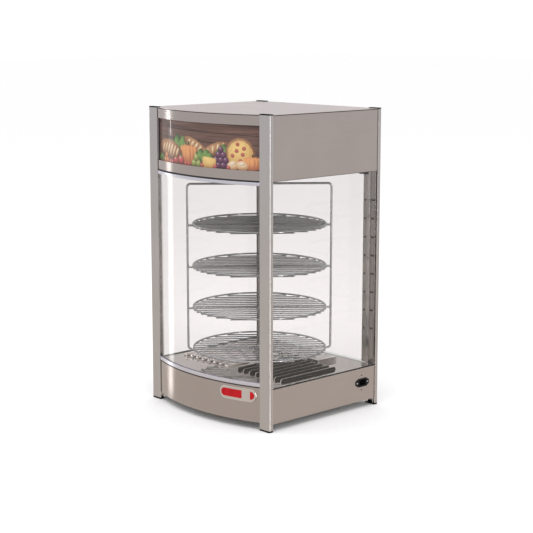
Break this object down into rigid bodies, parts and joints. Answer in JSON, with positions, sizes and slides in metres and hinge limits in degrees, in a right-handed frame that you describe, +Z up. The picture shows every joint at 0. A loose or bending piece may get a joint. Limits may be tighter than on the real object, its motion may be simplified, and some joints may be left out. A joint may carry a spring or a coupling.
{
  "type": "hot food display case",
  "caption": "Countertop heated display cabinet with curved front glass, side glass, rear door, lit header and a rotating wire rack of round shelves.",
  "frame": {"origin": "on the surface the case stands on, midway between the four corner posts", "axes": "+X to the case's right seen from its curved front, +Y towards its rear door, +Z up"},
  "size_m": [0.474, 0.479, 0.8025],
  "materials": {
    "post_aluminium": "satin anodised extrusion",
    "stainless_panel": "brushed, vertical grain",
    "stainless_floor": "smooth mill finish",
    "trim_bright": "bright anodised",
    "trim_dark": "satin anodised",
    "black_plastic": "moulded",
    "rubber_black": "matt",
    "clear_glass": "polished",
    "rack_chrome": "bright plated wire",
    "picture": "backlit printed acrylic",
    "lamp_white": "white tube",
    "holder_white": "moulded",
    "hinge_steel": "satin",
    "rivet_steel": "satin",
    "motor_grey": "painted",
    "bush_brass": "turned",
    "element_steel": "heat darkened",
    "bracket_steel": "zinc plated",
    "lid_steel": "satin, perforated",
    "badge_silver": "polished rim",
    "rocker_red": "moulded, translucent",
    "rocker_green": "moulded, translucent"
  },
  "bodies": {
    "root": {"post_front_left": "post_aluminium", "post_front_right": "post_aluminium", "post_rear_left": "post_aluminium", "post_rear_right": "post_aluminium", "post_caps": "black_plastic", "post_feet": "black_plastic", "base_front_panel": "stainless_panel", "base_side_left": "stainless_panel", "base_side_right": "stainless_panel", "base_rear_panel": "stainless_panel", "base_bottom_plate": "stainless_panel", "cabin_floor": "stainless_floor", "water_pan": "stainless_floor", "pan_lid": "lid_steel", "header_lower_band": "stainless_panel", "header_upper_band": "stainless_panel", "picture_panel": "picture", "header_side_left": "stainless_panel", "header_side_right": "stainless_panel", "header_rear_panel": "stainless_panel", "roof_panel": "stainless_panel", "cabin_ceiling": "stainless_floor", "lamp_tube": "lamp_white", "lamp_holders": "holder_white", "front_glass": "clear_glass", "side_glass_left": "clear_glass", "side_glass_right": "clear_glass", "lower_glass_channel": "trim_bright", "upper_glass_channel": "trim_bright", "glass_gaskets": "rubber_black", "hinge_leaf_post": "hinge_steel", "hinge_pin": "hinge_steel", "hinge_rivets_post": "rivet_steel", "door_catches": "black_plastic", "shaft_bush": "bush_brass", "gearmotor": "motor_grey", "heating_element": "element_steel", "element_clips": "bracket_steel", "thermostat": "holder_white", "switch_housings": "black_plastic", "power_inlet": "black_plastic", "name_badge": "badge_silver", "panel_screws": "rivet_steel"},
    "rack": {"rack_hoop": "rack_chrome", "cross_rods": "rack_chrome", "shelf_1": "rack_chrome", "shelf_2": "rack_chrome", "shelf_3": "rack_chrome", "shelf_4": "rack_chrome", "drive_hub": "hinge_steel"},
    "door": {"door_glass": "clear_glass", "door_hinge_stile": "post_aluminium", "door_latch_stile": "post_aluminium", "hinge_leaf_door": "hinge_steel", "hinge_rivets_door": "rivet_steel", "door_handle": "post_aluminium", "door_strike": "hinge_steel"},
    "knob": {"thermostat_knob": "black_plastic"},
    "heat_switch": {"rocker_heat": "rocker_red"},
    "light_switch": {"rocker_light": "rocker_green"}
  },
  "joints": [
    {"name": "rack_spin", "type": "hinge", "parent": "root", "child": "rack", "pos_m": [0, -0.017, 0.1495], "axis": [0, 0, 1], "continuous": true},
    {"name": "door_swing", "type": "hinge", "parent": "root", "child": "door", "pos_m": [0.20055, 0.2046, 0.38], "axis": [0, 0, -1], "range_deg": [0, 120]},
    {"name": "knob_turn", "type": "hinge", "parent": "root", "child": "knob", "pos_m": [-0.1, 0.2019, 0.066], "axis": [0, -1, 0], "range_deg": [0, 270]},
    {"name": "heat_rock", "type": "hinge", "parent": "root", "child": "heat_switch", "pos_m": [0.07, 0.1967, 0.066], "axis": [-1, 0, 0], "range_deg": [0, 16]},
    {"name": "light_rock", "type": "hinge", "parent": "root", "child": "light_switch", "pos_m": [0.115, 0.1967, 0.066], "axis": [-1, 0, 0], "range_deg": [0, 16]}
  ]
}
